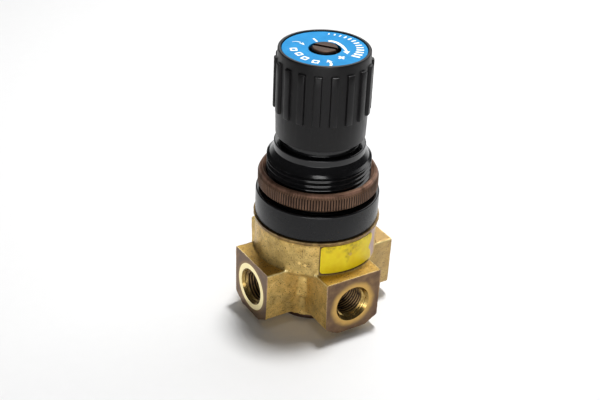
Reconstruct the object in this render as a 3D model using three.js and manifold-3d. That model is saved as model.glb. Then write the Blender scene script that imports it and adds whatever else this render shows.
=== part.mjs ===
// Small diaphragm pressure regulator for compressed air.
// Millimetres, +Z up. The origin is on the main axis, on the surface that the bottom plug stands on.
// Ports: inlet -X, outlet +X, gauge ports -Y and +Y.

import * as THREE from 'three';
import Module from 'manifold-3d';
import { mergeVertices } from 'three/addons/utils/BufferGeometryUtils.js';

const wasm = await Module();
wasm.setup();

// ---- driving dimensions ----
const GAP = 0.3;                 // between pieces that touch
const ROUND = 40;                // sides of a large turned piece
const MID_ROUND = 28;            // sides of a hidden or middling one
const FINE_ROUND = 20;           // sides of a small one
const PIN_ROUND = 12;            // sides of a pin or a thin hole

const FACE = 21.5;               // axis to port face
const PORT_Z = 10.6;             // height of the port axes
const PORT_R = 4.285;            // G1/8 thread, minor radius
const SINK_R = 5.55;             // countersink of a port
const SOCKET_END = 12.0;         // radius at which a port socket ends
const PILOT_R = 2.3;             // drilled passage behind a socket
const RISER_AT = 10.4;           // radius of the passages that rise to the diaphragm chamber
const RISER_R = 1.7;

const BOSS_TOP = 19.6;
const BOSS_BOTTOM = 1.8;
const BOSS_HALF = [9.3, 8.8];    // half width at the top and above the lower chamfers
const BOSS_CHAMFER = [4.0, 2.4]; // width and height of the lower chamfers

const HUB_R = [13.4, 14.2];      // hub between the bosses, lower and upper step
const BOWL_R = 17.8;
const LIP_R = 18.4;
const BODY_TOP = 30.7;
const CHAMBER_FLOOR = 20.0;      // diaphragm chamber
const CHAMBER_R = 12.6;
const LEDGE_Z = 25.1;            // ledge under the diaphragm's rim
const SPIGOT_BORE_R = 15.0;
const VALVE_BORE_R = 7.0;        // inlet chamber round the valve
const PLUG_BORE_R = 8.4;
const PLUG_BORE_TOP = 9.4;
const VALVE_ROOF = 13.2;
const SEAT_Z = 12.4;
const THROAT_R = 2.6;

const LABEL_FROM = -117.6;       // degrees round the axis
const LABEL_TO = -59;
const LABEL_Z = [20.3, 29.2];
const LABEL_R = 17.7;

const FLANGE_R = 17.9;
const FLANGE_TOP = 38.9;
const SEAT_INNER_R = 15.2;       // relief at the foot of the thread
const SPIGOT_BOTTOM = 27.8;
const NECK_R = 15.0;             // M30 x 1.5
const NECK_PITCH = 1.5;
const NECK_ROOT_R = 14.2;
const NECK_THREAD_TOP = 49.6;
const NECK_CHAMFER_TOP = 50.2;
const NECK_RIM_R = 13.1;
const NECK_TOP = 54.1;
const TOWER_R = 11.0;            // the bonnet's tower, inside the knob
const TOWER_TOP = 62.6;
const WEB_UNDER = 60.5;
const SPRING_BORE_R = 8.6;
const KEY_BOTTOM = 47.0;         // keyways of the spring plate
const KEY_R = 9.9;
const KEY_WIDTH = 2.6;
const KEY_COUNT = 4;

const NUT_R = 17.4;
const NUT_Z = [40.1, 45.5];
const NUT_TEETH = 48;

const KNOB_BOTTOM = 56.5;
const KNOB_TOP = 82.2;
const SKIRT_R = 12.75;
const GRIP_R = 13.0;             // between the ribs
const RIM_R = 12.85;
const RIB_R = 13.77;
const RIB_COUNT = 18;
const RIB_WIDTH = 2.16;
const RIB_Z = [64.4, 79.3];
const RIB_START = -129.3;        // degrees, centre of one rib
const KNOB_BORE_R = 11.4;
const KNOB_HUB_R = 6.2;
const KNOB_HUB_BOTTOM = 64.4;
const KNOB_ROOF = 78.6;          // underside of the knob's top
const WEB_COUNT = 6;
const DISC_R = 11.8;
const DISC_Z = [81.2, 81.9];
const WELL_R = 4.55;             // hole in the disc and well in the knob
const WELL_FLOOR = 79.0;

const SPINDLE_R = 4.0;           // M8 x 1.25, left hand
const SPINDLE_BOTTOM = 46.5;
const COLLAR_R = 7.0;
const COLLAR_Z = [58.4, 59.4];
const DRIVE_R = 2.9;             // two-flat drive for the knob
const DRIVE_FLAT = 2.2;
const DRIVE_BOTTOM = 66.0;
const SPINDLE_TOP = 78.9;
const CIRCLIP_Z = [63.1, 63.7];

const SCREW_R = 3.6;
const SCREW_TOP = 82.5;
const TAP_R = 1.5;               // tapped hole for the screw in the spindle's end
const TAP_BOTTOM = 70.0;
const SLOT_WIDTH = 1.2;
const SLOT_DEPTH = 1.3;
const SLOT_ANGLE = -52.5;        // degrees round the axis

const PLATE_Z = [54.0, 58.0];    // spring plate
const PLATE_BOSS = 1.2;
const MAIN_WIRE_R = 1.1;
const MAIN_COIL_R = 6.9;
const DIA_PLATE_R = 10.6;
const DIA_PLATE_Z = [24.2, 26.2];
const HUB_HOLE_R = 2.3;
const DIA_RIM_Z = [25.4, 26.4];
const DIA_MID_Z = [22.9, 23.9];

const STEM_R = 1.2;
const STEM_Z = [3.7, 20.9];
const VALVE_WIRE_R = 0.35;
const VALVE_COIL_R = 3.0;
const PLUG_R = 11.7;
const PLUG_HEAD = 1.5;

// ---- colours: [hex, roughness, metalness] ----
const BRASS = [0xa98f5a, 0.45, 0.9];
const BLACK = [0x242427, 0.45, 0.0];
const BROWN = [0x6e564c, 0.45, 0.7];
const STEEL = [0x9b9ea3, 0.35, 1.0];
const RUBBER = [0x1b1b1c, 0.8, 0.0];

// ---- geometry helpers ----
const radians = (degrees) => degrees * Math.PI / 180;
const polar = (radius, degrees) => [radius * Math.cos(radians(degrees)), radius * Math.sin(radians(degrees))];

function solid(geometry) {
  const bare = geometry.clone();
  bare.deleteAttribute('normal');
  bare.deleteAttribute('uv');
  const merged = mergeVertices(bare, 1e-4);
  const index = merged.index.array;
  const triangles = [];
  for (let i = 0; i < index.length; i += 3) {
    const [a, b, c] = [index[i], index[i + 1], index[i + 2]];
    if (a !== b && b !== c && c !== a) triangles.push(a, b, c);
  }
  return new wasm.Manifold(new wasm.Mesh({
    numProp: 3,
    vertProperties: new Float32Array(merged.attributes.position.array),
    triVerts: new Uint32Array(triangles),
  }));
}

// profile: [radius, height] points, anticlockwise with the axis on the left
function turned(profile, sides = MID_ROUND) {
  const points = profile.map(([radius, height]) => new THREE.Vector2(radius, height));
  return solid(new THREE.LatheGeometry(points, sides).rotateX(Math.PI / 2));
}

const rod = (radius, low, high, sides = MID_ROUND) =>
  turned([[0, low], [radius, low], [radius, high], [0, high]], sides);

const ring = (inner, outer, low, high, sides = MID_ROUND) =>
  turned([[inner, low], [outer, low], [outer, high], [inner, high], [inner, low]], sides);

function prism(outline, low, high) {
  const shape = new THREE.Shape(outline.map(([x, y]) => new THREE.Vector2(x, y)));
  const geometry = new THREE.ExtrudeGeometry(shape, { depth: high - low, bevelEnabled: false });
  return solid(geometry.translate(0, 0, low));
}

function block(sizeX, sizeY, low, high, x = 0, y = 0) {
  const geometry = new THREE.BoxGeometry(sizeX, sizeY, high - low);
  return solid(geometry.translate(x, y, (low + high) / 2));
}

// a solid drawn along Z, laid down so that its +Z points along +X at the given height
const laidDown = (manifold, height) => manifold.rotate([0, 90, 0]).translate([0, 0, height]);

const turnedTo = (manifold, degrees) => manifold.rotate([0, 0, degrees]);

function union(manifolds) {
  return manifolds.reduce((joined, next) => joined.add(next));
}

// a round wire's centreline: closed end turns, open turns between them
class SpringLine extends THREE.Curve {
  constructor(radius, low, high, openTurns, endPitch) {
    super();
    Object.assign(this, { radius, low, high, openTurns, endPitch });
    this.turns = openTurns + 2;
  }

  getPoint(t, target = new THREE.Vector3()) {
    const turn = t * this.turns;
    const openPitch = (this.high - this.low - 2 * this.endPitch) / this.openTurns;
    const closedBelow = Math.min(turn, 1);
    const open = Math.min(Math.max(turn - 1, 0), this.openTurns);
    const closedAbove = Math.max(turn - 1 - this.openTurns, 0);
    const height = this.low + (closedBelow + closedAbove) * this.endPitch + open * openPitch;
    const [x, y] = polar(this.radius, 360 * turn);
    return target.set(x, y, height);
  }
}

function spring({ coilR, wireR, low, high, openTurns, stepsPerTurn, sides }) {
  const line = new SpringLine(coilR, low + wireR, high - wireR, openTurns, 2 * wireR + 0.1);
  const section = Array.from({ length: sides }, (_, i) => polar(wireR, 360 * i / sides));
  const shape = new THREE.Shape(section.map(([x, y]) => new THREE.Vector2(x, y)));
  const steps = Math.round(line.turns * stepsPerTurn);
  return solid(new THREE.ExtrudeGeometry(shape, { steps, extrudePath: line, bevelEnabled: false }));
}

const regulator = new THREE.Group();

function add(name, manifold, [color, roughness, metalness]) {
  const { vertProperties, triVerts } = manifold.getMesh();
  const geometry = new THREE.BufferGeometry();
  geometry.setAttribute('position', new THREE.BufferAttribute(vertProperties, 3));
  geometry.setIndex(new THREE.BufferAttribute(triVerts, 1));
  const material = new THREE.MeshStandardMaterial({ color, roughness, metalness, flatShading: true });
  const mesh = new THREE.Mesh(geometry, material);
  mesh.name = name;
  regulator.add(mesh);
}

// ---- body ----
function bossBar() {
  const [halfTop, halfLow] = BOSS_HALF;
  const [chamferWidth, chamferHeight] = BOSS_CHAMFER;
  const halfBottom = halfLow - chamferWidth;
  const outline = [
    [BOSS_TOP, -halfTop], [BOSS_TOP, halfTop],
    [BOSS_BOTTOM + chamferHeight, halfLow], [BOSS_BOTTOM, halfBottom],
    [BOSS_BOTTOM, -halfBottom], [BOSS_BOTTOM + chamferHeight, -halfLow],
  ].map(([height, y]) => [-height, y]).reverse();
  return laidDown(prism(outline, -FACE, FACE), 0);
}

function bowlAndHub() {
  const [low, high] = HUB_R;
  return turned([
    [0, BOSS_BOTTOM + 0.7], [low - 0.6, BOSS_BOTTOM + 0.7], [low, BOSS_BOTTOM + 1.3], [low, 9.0], [high, 9.6],
    [high, 17.6], [BOWL_R - 0.9, 18.4], [BOWL_R, 19.5], [BOWL_R, 29.4], [LIP_R, 29.9],
    [LIP_R, BODY_TOP - 0.3], [LIP_R - 0.3, BODY_TOP], [0, BODY_TOP],
  ], ROUND);
}

function portSocket(angle, rises) {
  const sinkDepth = SINK_R - PORT_R;
  const socket = laidDown(turned([
    [0, SOCKET_END], [PORT_R, SOCKET_END], [PORT_R, FACE - sinkDepth], [SINK_R, FACE],
    [SINK_R, FACE + 1], [0, FACE + 1],
  ], FINE_ROUND), PORT_Z);
  const pilotEnd = rises ? RISER_AT - RISER_R : VALVE_BORE_R - 1;
  const pilot = laidDown(rod(PILOT_R, pilotEnd, SOCKET_END + 1, FINE_ROUND), PORT_Z);
  const cuts = [socket, pilot];
  if (rises) cuts.push(rod(RISER_R, PORT_Z, CHAMBER_FLOOR + 1, PIN_ROUND).translate([RISER_AT, 0, 0]));
  return turnedTo(union(cuts), angle);
}

function bodyCavity() {
  return turned([
    [0, BOSS_BOTTOM - 1], [PLUG_BORE_R, BOSS_BOTTOM - 1], [PLUG_BORE_R, PLUG_BORE_TOP],
    [VALVE_BORE_R, PLUG_BORE_TOP], [VALVE_BORE_R, VALVE_ROOF], [THROAT_R + 0.9, VALVE_ROOF],
    [THROAT_R + 0.7, SEAT_Z], [THROAT_R, SEAT_Z], [THROAT_R, CHAMBER_FLOOR], [CHAMBER_R, CHAMBER_FLOOR],
    [CHAMBER_R, LEDGE_Z], [SPIGOT_BORE_R, LEDGE_Z], [SPIGOT_BORE_R, BODY_TOP + 1], [0, BODY_TOP + 1],
  ], ROUND);
}

// a curved plate between two radii, two angles and two heights
function curvedPlate(inner, outer, from, to, low, high) {
  const steps = Math.ceil((to - from) / 6);
  const at = (i) => from + (to - from) * i / steps;
  const outline = [];
  for (let i = 0; i <= steps; i += 1) outline.push(polar(outer, at(i)));
  for (let i = steps; i >= 0; i -= 1) outline.push(polar(inner, at(i)));
  return prism(outline, low, high);
}

function makeBody() {
  const bars = [0, 90].map((angle) => turnedTo(bossBar(), angle));
  const cuts = [
    bodyCavity(),
    portSocket(180, false), portSocket(0, true), portSocket(-90, true), portSocket(90, true),
    curvedPlate(LABEL_R - GAP, LIP_R + 1, LABEL_FROM - 1, LABEL_TO + 1, LABEL_Z[0] - GAP, LABEL_Z[1] + GAP),
  ];
  return union([bowlAndHub(), ...bars]).subtract(union(cuts));
}

const makeLabel = () =>
  curvedPlate(LABEL_R, LABEL_R + GAP, LABEL_FROM, LABEL_TO, LABEL_Z[0], LABEL_Z[1]);

// ---- bonnet and ring nut ----
function neckThread() {
  const profile = [];
  const crests = Math.floor((NECK_THREAD_TOP - FLANGE_TOP) / NECK_PITCH);
  for (let i = 0; i < crests; i += 1) {
    const crest = NECK_THREAD_TOP - (crests - i) * NECK_PITCH;
    profile.push([NECK_ROOT_R, crest - 0.15], [NECK_R, crest + 0.6]);
  }
  return profile;
}

function makeBonnet() {
  const shell = turned([
    [12.2, SPIGOT_BOTTOM], [SPIGOT_BORE_R - GAP, SPIGOT_BOTTOM], [SPIGOT_BORE_R - GAP, BODY_TOP + GAP],
    [FLANGE_R - 0.3, BODY_TOP + GAP], [FLANGE_R, BODY_TOP + 2 * GAP], [FLANGE_R, FLANGE_TOP - 0.4],
    [FLANGE_R - 0.4, FLANGE_TOP], [SEAT_INNER_R, FLANGE_TOP], [SEAT_INNER_R, FLANGE_TOP - 0.3],
    [NECK_ROOT_R, FLANGE_TOP - 0.3],
    ...neckThread(),
    [NECK_ROOT_R, NECK_THREAD_TOP - 0.15], [NECK_R, NECK_THREAD_TOP], [NECK_ROOT_R, NECK_CHAMFER_TOP],
    [NECK_RIM_R, NECK_TOP - 2], [NECK_RIM_R, NECK_TOP - 0.2], [NECK_RIM_R - 0.2, NECK_TOP], [TOWER_R, NECK_TOP],
    [TOWER_R, TOWER_TOP - 0.4], [TOWER_R - 0.4, TOWER_TOP], [SPINDLE_R + 0.5, TOWER_TOP],
    [SPINDLE_R + 0.5, WEB_UNDER], [SPRING_BORE_R, WEB_UNDER], [SPRING_BORE_R, KEY_BOTTOM],
    [11.5, KEY_BOTTOM], [11.5, 34.0], [12.2, 33.0], [12.2, SPIGOT_BOTTOM],
  ], ROUND);
  const keyways = [];
  for (let i = 0; i < KEY_COUNT; i += 1) {
    const keyway = block(KEY_R, KEY_WIDTH, KEY_BOTTOM - 1, WEB_UNDER, KEY_R / 2);
    keyways.push(turnedTo(keyway, 45 + 360 * i / KEY_COUNT));
  }
  return shell.subtract(union(keyways));
}

function makeRingNut() {
  const teeth = [];
  for (let i = 0; i < NUT_TEETH; i += 1) {
    const angle = 360 * i / NUT_TEETH;
    teeth.push(polar(NUT_R, angle), polar(NUT_R - 0.3, angle + 180 / NUT_TEETH));
  }
  const [low, high] = NUT_Z;
  const edged = turned([
    [0, low], [NUT_R - 0.5, low], [NUT_R + 0.1, low + 0.6], [NUT_R + 0.1, high - 0.6],
    [NUT_R - 0.5, high], [0, high],
  ], ROUND);
  const bore = turned([
    [0, low - 1], [NECK_R + 0.9, low - 1], [NECK_R + 0.9, low], [NECK_R + GAP, low + 0.6],
    [NECK_R + GAP, high - 0.6], [NECK_R + 0.9, high], [NECK_R + 0.9, high + 1], [0, high + 1],
  ], ROUND);
  return prism(teeth, low - 1, high + 1).intersect(edged).subtract(bore);
}

// ---- knob ----
function ribbedGrip() {
  const halfRib = Math.asin(RIB_WIDTH / 2 / RIB_R) * 180 / Math.PI;
  const outline = [];
  for (let i = 0; i < RIB_COUNT; i += 1) {
    const centre = RIB_START + 360 * i / RIB_COUNT;
    outline.push(polar(GRIP_R - 0.1, centre - halfRib - 0.8), polar(RIB_R, centre - halfRib));
    outline.push(polar(RIB_R, centre + halfRib), polar(GRIP_R - 0.1, centre + halfRib + 0.8));
  }
  return prism(outline, RIB_Z[0], RIB_Z[1]);
}

function twoFlat(radius, flat, low, high) {
  const round = rod(radius, low, high, FINE_ROUND);
  return round.intersect(block(3 * radius, 2 * flat, low - 1, high + 1));
}

function makeKnob() {
  const outside = turned([
    [0, KNOB_BOTTOM], [SKIRT_R, KNOB_BOTTOM], [GRIP_R, RIB_Z[0]], [GRIP_R, RIB_Z[1]],
    [RIM_R, KNOB_TOP - 0.2], [RIM_R - 0.2, KNOB_TOP], [0, KNOB_TOP],
  ], ROUND);
  const hollow = ring(KNOB_HUB_R, KNOB_BORE_R - 0.5, KNOB_HUB_BOTTOM, KNOB_ROOF);
  const skirtHollow = rod(KNOB_BORE_R, KNOB_BOTTOM - 1, KNOB_HUB_BOTTOM + 1.6);
  const hubEnd = ring(SPINDLE_R + 0.4, KNOB_HUB_R, KNOB_HUB_BOTTOM, KNOB_HUB_BOTTOM + 2, FINE_ROUND);
  const webs = [];
  for (let i = 0; i < WEB_COUNT; i += 1) {
    const web = block(KNOB_BORE_R - KNOB_HUB_R, 1.2, DRIVE_BOTTOM, KNOB_ROOF, (KNOB_BORE_R + KNOB_HUB_R) / 2);
    webs.push(turnedTo(web, 360 * i / WEB_COUNT));
  }
  const discSeat = rod(DISC_R + GAP, DISC_Z[0] - GAP, KNOB_TOP + 1, ROUND);
  const well = rod(WELL_R, WELL_FLOOR, KNOB_TOP + 1, FINE_ROUND);
  const drive = twoFlat(DRIVE_R + GAP, DRIVE_FLAT + GAP, KNOB_HUB_BOTTOM, WELL_FLOOR + 1);
  const spindleRoom = rod(SPINDLE_R + 0.4, KNOB_HUB_BOTTOM - 1, DRIVE_BOTTOM + GAP, FINE_ROUND);
  const cored = outside.add(ribbedGrip()).subtract(union([hollow, skirtHollow]));
  return cored.add(union([hubEnd, ...webs])).subtract(union([discSeat, well, drive, spindleRoom]));
}

const makeDisc = () => ring(WELL_R, DISC_R, DISC_Z[0], DISC_Z[1], ROUND);

function makeLockScrew() {
  const head = turned([
    [0, WELL_FLOOR + GAP], [SCREW_R, WELL_FLOOR + GAP], [SCREW_R, SCREW_TOP - 0.3],
    [SCREW_R - 0.3, SCREW_TOP], [0, SCREW_TOP],
  ]);
  const shank = rod(TAP_R - GAP, TAP_BOTTOM + 0.5, WELL_FLOOR + 1, PIN_ROUND);
  const slot = turnedTo(block(3 * SCREW_R, SLOT_WIDTH, SCREW_TOP - SLOT_DEPTH, SCREW_TOP + 1), SLOT_ANGLE);
  return head.add(shank).subtract(slot);
}

// ---- spindle and setting spring ----
function makeSpindle() {
  const shaft = turned([
    [0, SPINDLE_BOTTOM], [SPINDLE_R - 0.6, SPINDLE_BOTTOM], [SPINDLE_R, SPINDLE_BOTTOM + 0.6],
    [SPINDLE_R, COLLAR_Z[0]], [COLLAR_R, COLLAR_Z[0]], [COLLAR_R, COLLAR_Z[1]], [SPINDLE_R, COLLAR_Z[1]],
    [SPINDLE_R, CIRCLIP_Z[0] - 0.2], [3.4, CIRCLIP_Z[0] - 0.2], [3.4, CIRCLIP_Z[1] + 0.2],
    [SPINDLE_R, CIRCLIP_Z[1] + 0.2], [SPINDLE_R, DRIVE_BOTTOM], [0, DRIVE_BOTTOM],
  ], FINE_ROUND);
  const drive = twoFlat(DRIVE_R, DRIVE_FLAT, DRIVE_BOTTOM - 1, SPINDLE_TOP);
  return shaft.add(drive).subtract(rod(TAP_R, TAP_BOTTOM, SPINDLE_TOP + 1, PIN_ROUND));
}

function makeCirclip() {
  const mouth = block(8, 3.2, CIRCLIP_Z[0] - 1, CIRCLIP_Z[1] + 1, 6);
  return ring(3.7, 5.8, CIRCLIP_Z[0], CIRCLIP_Z[1], FINE_ROUND).subtract(mouth);
}

const makeThrustWasher = () => ring(SPINDLE_R + 0.5, 7.4, COLLAR_Z[1] + GAP, WEB_UNDER - GAP, FINE_ROUND);

function makeSpringPlate() {
  const [low, high] = PLATE_Z;
  const boss = MAIN_COIL_R - MAIN_WIRE_R - GAP;
  const disc = turned([
    [0, low - PLATE_BOSS], [boss, low - PLATE_BOSS], [boss, low], [SPRING_BORE_R - GAP, low],
    [SPRING_BORE_R - GAP, high], [0, high],
  ]);
  const lugs = [0, 90].map((angle) =>
    turnedTo(block(2 * (KEY_R - GAP), KEY_WIDTH - 2 * GAP, low, high), 45 + angle));
  return disc.add(union(lugs)).subtract(rod(SPINDLE_R + GAP, low - 2, high + 1, FINE_ROUND));
}

const makeMainSpring = () => spring({
  coilR: MAIN_COIL_R, wireR: MAIN_WIRE_R, low: DIA_PLATE_Z[1] + GAP, high: PLATE_Z[0] - GAP,
  openTurns: 6, stepsPerTurn: 10, sides: 5,
});

// ---- diaphragm and its plates ----
const makeSlipRing = () => ring(CHAMBER_R, SPIGOT_BORE_R - GAP, DIA_RIM_Z[1] + GAP, SPIGOT_BOTTOM - GAP);

function makeDiaphragmPlate() {
  const [low, high] = DIA_PLATE_Z;
  const boss = MAIN_COIL_R - MAIN_WIRE_R - GAP;
  return turned([
    [HUB_HOLE_R, low], [DIA_PLATE_R - 0.4, low], [DIA_PLATE_R, low + 0.4], [DIA_PLATE_R, high],
    [boss, high], [boss, high + 1.4], [3.8, high + 1.4], [3.8, high], [HUB_HOLE_R, high], [HUB_HOLE_R, low],
  ]);
}

function makeDiaphragm() {
  const [rimLow, rimHigh] = DIA_RIM_Z;
  const [midLow, midHigh] = DIA_MID_Z;
  return turned([
    [HUB_HOLE_R, midLow], [11.2, midLow], [12.2, rimLow - 0.3], [12.5, rimLow], [14.7, rimLow],
    [14.7, rimHigh], [12.2, rimHigh], [11.8, rimHigh - 0.3], [10.9, midHigh], [HUB_HOLE_R, midHigh],
    [HUB_HOLE_R, midLow],
  ]);
}

const makeDiaphragmHub = () => turned([
  [0.8, 21.2], [5.3, 21.2], [5.5, 21.4], [5.5, 22.6], [2.0, 22.6], [2.0, 26.5], [3.3, 26.5], [3.0, 27.3],
  [0.8, 27.3], [0.8, 21.2],
], FINE_ROUND);

// ---- valve and bottom plug ----
const makeStem = () => turned([
  [0, STEM_Z[0]], [STEM_R - 0.2, STEM_Z[0]], [STEM_R, STEM_Z[0] + 0.3], [STEM_R, STEM_Z[1] - 0.3],
  [STEM_R - 0.3, STEM_Z[1]], [0, STEM_Z[1]],
], PIN_ROUND);

const makePoppet = () => turned([
  [STEM_R + GAP, 7.6], [2.3, 7.6], [2.3, 9.0], [4.4, 9.0], [4.4, 11.6], [4.0, 11.6], [4.0, 10.8],
  [STEM_R + GAP, 10.8], [STEM_R + GAP, 7.6],
], FINE_ROUND);

const makePoppetSeal = () => ring(STEM_R + GAP, 3.7, 11.1, SEAT_Z - GAP, FINE_ROUND);

const makeValveSpring = () => spring({
  coilR: VALVE_COIL_R, wireR: VALVE_WIRE_R, low: 4.5, high: 8.7, openTurns: 3, stepsPerTurn: 8, sides: 4,
});

function makeBottomPlug() {
  const outside = turned([
    [0, 0], [PLUG_R - 0.4, 0], [PLUG_R, 0.4], [PLUG_R, PLUG_HEAD - 0.3], [PLUG_R - 0.3, PLUG_HEAD],
    [PLUG_BORE_R - GAP, PLUG_HEAD], [PLUG_BORE_R - GAP, 6.0], [5.9, 6.0], [5.9, 8.3], [7.4, 8.3],
    [7.4, 9.2], [0, 9.2],
  ]);
  const pocket = turned([
    [0, 2.6], [STEM_R + GAP, 2.6], [STEM_R + GAP, 4.2], [4.8, 4.2], [4.8, 10.0], [0, 10.0],
  ], FINE_ROUND);
  const key = prism(Array.from({ length: 6 }, (_, i) => polar(4.0 / Math.cos(Math.PI / 6), 60 * i)), -1, 1.8);
  return outside.subtract(pocket.add(key));
}

function makePlugOring() {
  const [coilR, wireR, height] = [7.05, 0.85, 7.15];
  return solid(new THREE.TorusGeometry(coilR, wireR, 6, FINE_ROUND).translate(0, 0, height));
}

add('body', makeBody(), BRASS);
add('type_label', makeLabel(), [0xd8c52a, 0.5, 0.0]);
add('bonnet', makeBonnet(), BLACK);
add('ring_nut', makeRingNut(), BROWN);
add('knob', makeKnob(), BLACK);
add('knob_disc', makeDisc(), [0x3f97dd, 0.4, 0.0]);
add('lock_screw', makeLockScrew(), BROWN);
add('adjusting_spindle', makeSpindle(), STEEL);
add('spindle_circlip', makeCirclip(), STEEL);
add('thrust_washer', makeThrustWasher(), BRASS);
add('spring_plate', makeSpringPlate(), BRASS);
add('main_spring', makeMainSpring(), STEEL);
add('slip_ring', makeSlipRing(), STEEL);
add('diaphragm_plate', makeDiaphragmPlate(), STEEL);
add('diaphragm', makeDiaphragm(), RUBBER);
add('diaphragm_hub', makeDiaphragmHub(), BRASS);
add('valve_stem', makeStem(), STEEL);
add('valve_poppet', makePoppet(), BRASS);
add('poppet_seal', makePoppetSeal(), RUBBER);
add('valve_spring', makeValveSpring(), STEEL);
add('bottom_plug', makeBottomPlug(), [0x4a3f39, 0.5, 0.6]);
add('plug_oring', makePlugOring(), RUBBER);

export default regulator;
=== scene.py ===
"""Looks of a small air pressure regulator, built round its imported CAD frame.

Outlines are in mm, with +Z up along the main axis, and become metres when a mesh is made.
"""

import math

import bmesh
import bpy
import numpy as np
from mathutils import Matrix, Vector


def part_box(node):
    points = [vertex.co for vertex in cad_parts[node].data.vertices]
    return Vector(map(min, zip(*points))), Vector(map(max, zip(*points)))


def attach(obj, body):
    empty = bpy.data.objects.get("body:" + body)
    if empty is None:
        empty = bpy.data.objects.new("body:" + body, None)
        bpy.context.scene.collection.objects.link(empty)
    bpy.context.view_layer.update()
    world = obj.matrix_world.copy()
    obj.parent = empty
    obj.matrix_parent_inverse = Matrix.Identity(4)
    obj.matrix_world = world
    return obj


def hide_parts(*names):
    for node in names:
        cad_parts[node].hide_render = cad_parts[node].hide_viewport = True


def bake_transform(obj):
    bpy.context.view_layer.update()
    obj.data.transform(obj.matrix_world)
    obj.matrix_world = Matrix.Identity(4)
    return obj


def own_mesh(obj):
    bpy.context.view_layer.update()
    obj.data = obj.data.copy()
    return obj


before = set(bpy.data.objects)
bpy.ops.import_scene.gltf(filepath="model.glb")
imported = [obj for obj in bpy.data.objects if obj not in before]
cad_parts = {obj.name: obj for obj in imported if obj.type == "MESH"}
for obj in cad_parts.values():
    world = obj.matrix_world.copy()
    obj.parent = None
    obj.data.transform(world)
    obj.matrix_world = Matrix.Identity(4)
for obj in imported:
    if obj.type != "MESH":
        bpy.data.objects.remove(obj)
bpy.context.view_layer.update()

MM = 0.001
TAU = 2 * math.pi


def box_mm(node):
    low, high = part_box(node)
    return low / MM, high / MM


# ---- sizes taken from the frame, in mm ----
BODY_LOW, BODY_HIGH = box_mm("body")
BONNET_LOW, BONNET_HIGH = box_mm("bonnet")
NUT_LOW, NUT_HIGH = box_mm("ring_nut")
KNOB_LOW, KNOB_HIGH = box_mm("knob")
DISC_LOW, DISC_HIGH = box_mm("knob_disc")
SCREW_LOW, SCREW_HIGH = box_mm("lock_screw")
LABEL_LOW, LABEL_HIGH = box_mm("type_label")
PLUG_LOW, PLUG_HIGH = box_mm("bottom_plug")

FACE = BODY_HIGH.x  # axis to port face
BODY_TOP = BODY_HIGH.z
PORT_Z = 10.6
PORT_ANGLES = (180, 0, -90, 90)  # inlet, outlet, gauge front, gauge back


# ---- outlines ----
def polar(radius, degrees):
    a = math.radians(degrees)
    return radius * math.cos(a), radius * math.sin(a)


def rounded(points, steps=5, closed=True):
    """The outline with an arc at each point that has a third number, its radius."""
    made = []
    count = len(points)
    for i, point in enumerate(points):
        ends = (i in (0, count - 1)) and not closed
        if len(point) == 2 or ends:
            made.append(tuple(point[:2]))
            continue
        here = np.array(point[:2], float)
        before = np.array(points[i - 1][:2], float) - here
        after = np.array(points[(i + 1) % count][:2], float) - here
        before_len, after_len = np.linalg.norm(before), np.linalg.norm(after)
        before, after = before / before_len, after / after_len
        half = math.acos(max(-1.0, min(1.0, float(before @ after)))) / 2
        reach = min(point[2] / math.tan(half), 0.49 * before_len, 0.49 * after_len)
        radius = reach * math.tan(half)
        middle = here + (before + after) / np.linalg.norm(before + after) * radius / math.sin(half)
        first, last = here + before * reach - middle, here + after * reach - middle
        turn = math.atan2(first[0] * last[1] - first[1] * last[0], float(first @ last))
        for k in range(steps + 1):
            a = turn * k / steps
            made.append((
                middle[0] + first[0] * math.cos(a) - first[1] * math.sin(a),
                middle[1] + first[0] * math.sin(a) + first[1] * math.cos(a),
            ))
    return made


class Shell:
    """Collects grids of points in mm and welds them into one mesh."""

    def __init__(self):
        self.points = []
        self.faces = []
        self.count = 0

    def grid(self, rows, wrap_rows=False, wrap_columns=True):
        """rows is an array of rows x columns x 3."""
        high, wide = rows.shape[:2]
        start = self.count
        self.points.append(rows.reshape(-1, 3))
        self.count += high * wide
        for j in range(high if wrap_rows else high - 1):
            below, above = start + j * wide, start + (j + 1) % high * wide
            for i in range(wide if wrap_columns else wide - 1):
                k = (i + 1) % wide
                self.faces.append((below + i, below + k, above + k, above + i))
        return self

    def mesh(self, name, weld=2e-4):
        data = bpy.data.meshes.new(name)
        data.from_pydata((np.concatenate(self.points) * MM).tolist(), [], self.faces)
        work = bmesh.new()
        work.from_mesh(data)
        bmesh.ops.remove_doubles(work, verts=work.verts, dist=weld * MM)
        bmesh.ops.dissolve_degenerate(work, edges=work.edges, dist=weld * MM)
        bmesh.ops.recalc_face_normals(work, faces=work.faces)
        work.to_mesh(data)
        work.free()
        return data


def angles_of(sides):
    return np.arange(sides) * TAU / sides


def revolve(shell, outline, angles, warp=None):
    """Turns (radius, height) points about Z; warp(radius, height, angles) changes the radii."""
    rows = []
    for radius, height in outline:
        radii = np.full(len(angles), float(radius))
        if warp is not None:
            radii = warp(radius, height, angles)
        rows.append(np.stack([
            radii * np.cos(angles), radii * np.sin(angles), np.full(len(angles), float(height)),
        ], -1))
    return shell.grid(np.array(rows))


def smooth_step(x):
    x = np.clip(x, 0, 1)
    return x * x * (3 - 2 * x)


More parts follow.
